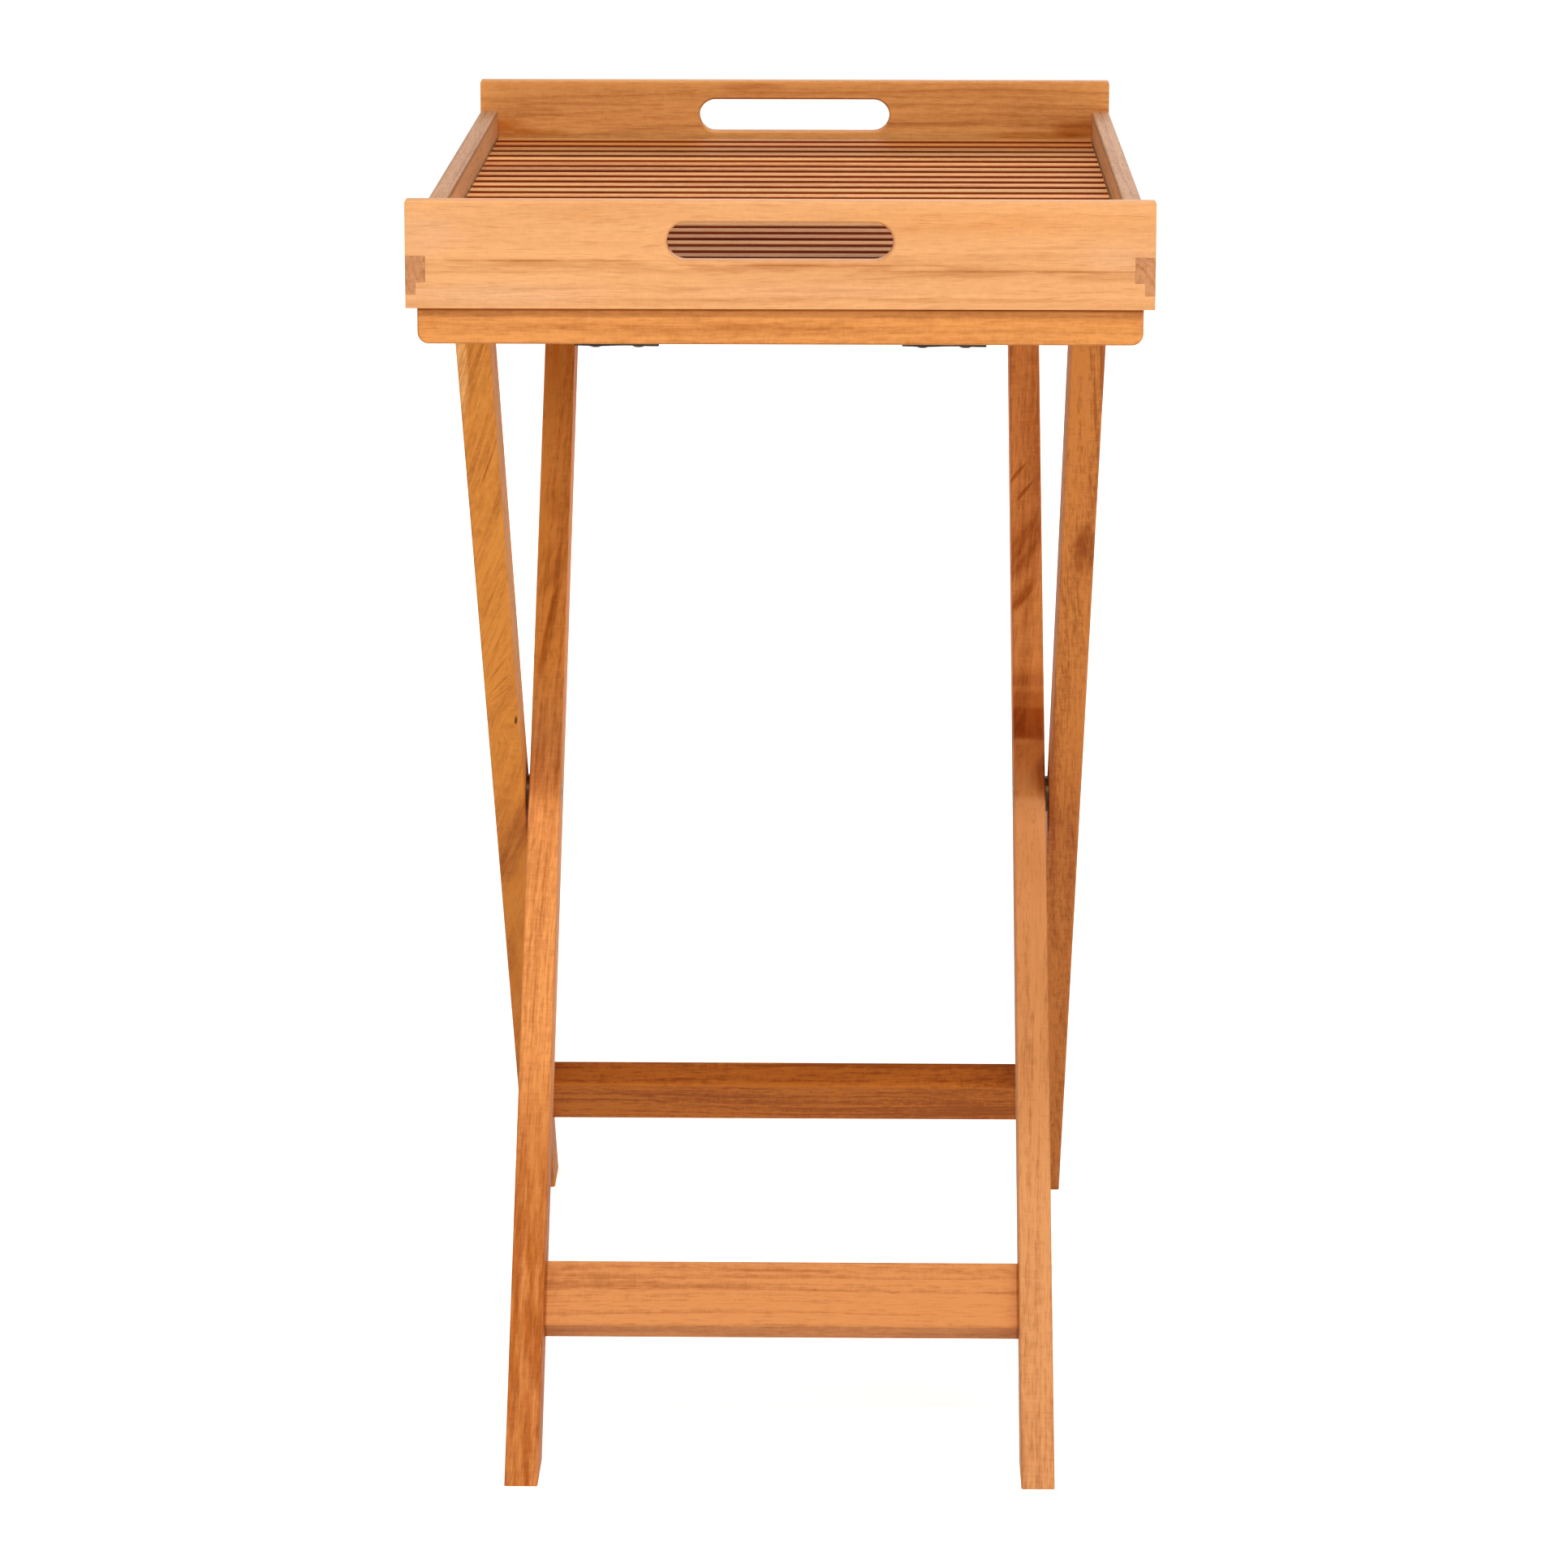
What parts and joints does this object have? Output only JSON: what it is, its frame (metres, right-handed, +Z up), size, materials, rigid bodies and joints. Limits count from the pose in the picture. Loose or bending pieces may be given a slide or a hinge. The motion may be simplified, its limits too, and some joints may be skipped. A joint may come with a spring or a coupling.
{
  "type": "tray table",
  "caption": "Slatted wooden tray with a handle slot in each end, resting on a folding cross-leg stand with webbing straps.",
  "frame": {"origin": "on the floor, under the middle of the table", "axes": "+X to the right across the tray, +Y to the back along the tray, +Z up"},
  "size_m": [0.45, 0.7, 0.812],
  "materials": {
    "teak_tray": "planed teak, thin oil, eased edges",
    "teak_slats": "planed teak, thin oil",
    "teak_stand": "planed teak, thin oil, eased edges",
    "webbing": "woven polypropylene webbing, matt",
    "bronze": "dark bronzed metal"
  },
  "bodies": {
    "inner_frame": {"left_inner_leg": "teak_stand", "right_inner_leg": "teak_stand", "rear_top_rail": "teak_stand", "front_stretcher": "teak_stand", "sleeve_nuts": "bronze", "pivot_bolts": "bronze", "spacer_washers": "bronze", "left_strap": "webbing", "right_strap": "webbing", "rear_strap_screws": "bronze"},
    "outer_frame": {"left_outer_leg": "teak_stand", "right_outer_leg": "teak_stand", "front_top_rail": "teak_stand", "rear_stretcher": "teak_stand", "front_strap_screws": "bronze"},
    "tray": {"front_end_board": "teak_tray", "rear_end_board": "teak_tray", "left_side_rail": "teak_tray", "right_side_rail": "teak_tray", "slat_01": "teak_slats", "slat_02": "teak_slats", "slat_03": "teak_slats", "slat_04": "teak_slats", "slat_05": "teak_slats", "slat_06": "teak_slats", "slat_07": "teak_slats", "slat_08": "teak_slats", "slat_09": "teak_slats", "slat_10": "teak_slats", "slat_11": "teak_slats", "slat_12": "teak_slats", "slat_13": "teak_slats", "slat_14": "teak_slats", "slat_15": "teak_slats", "slat_16": "teak_slats", "slat_17": "teak_slats", "slat_18": "teak_slats", "slat_19": "teak_slats", "slat_20": "teak_slats", "slat_21": "teak_slats", "slat_22": "teak_slats", "slat_23": "teak_slats"}
  },
  "joints": [
    {"name": "fold", "type": "hinge", "parent": "inner_frame", "child": "outer_frame", "pos_m": [0, 0, 0.368], "axis": [-1, 0, 0], "range_deg": [0, 73], "deforming": ["left_strap", "right_strap"]},
    {"name": "tray_lift", "type": "slide", "parent": "inner_frame", "child": "tray", "axis": [0, 0, 1], "range_m": [0, 0.51]}
  ],
  "couplings": [
    {"joint": "tray_lift", "follows": "fold", "m_per_rad": 0.4}
  ]
}
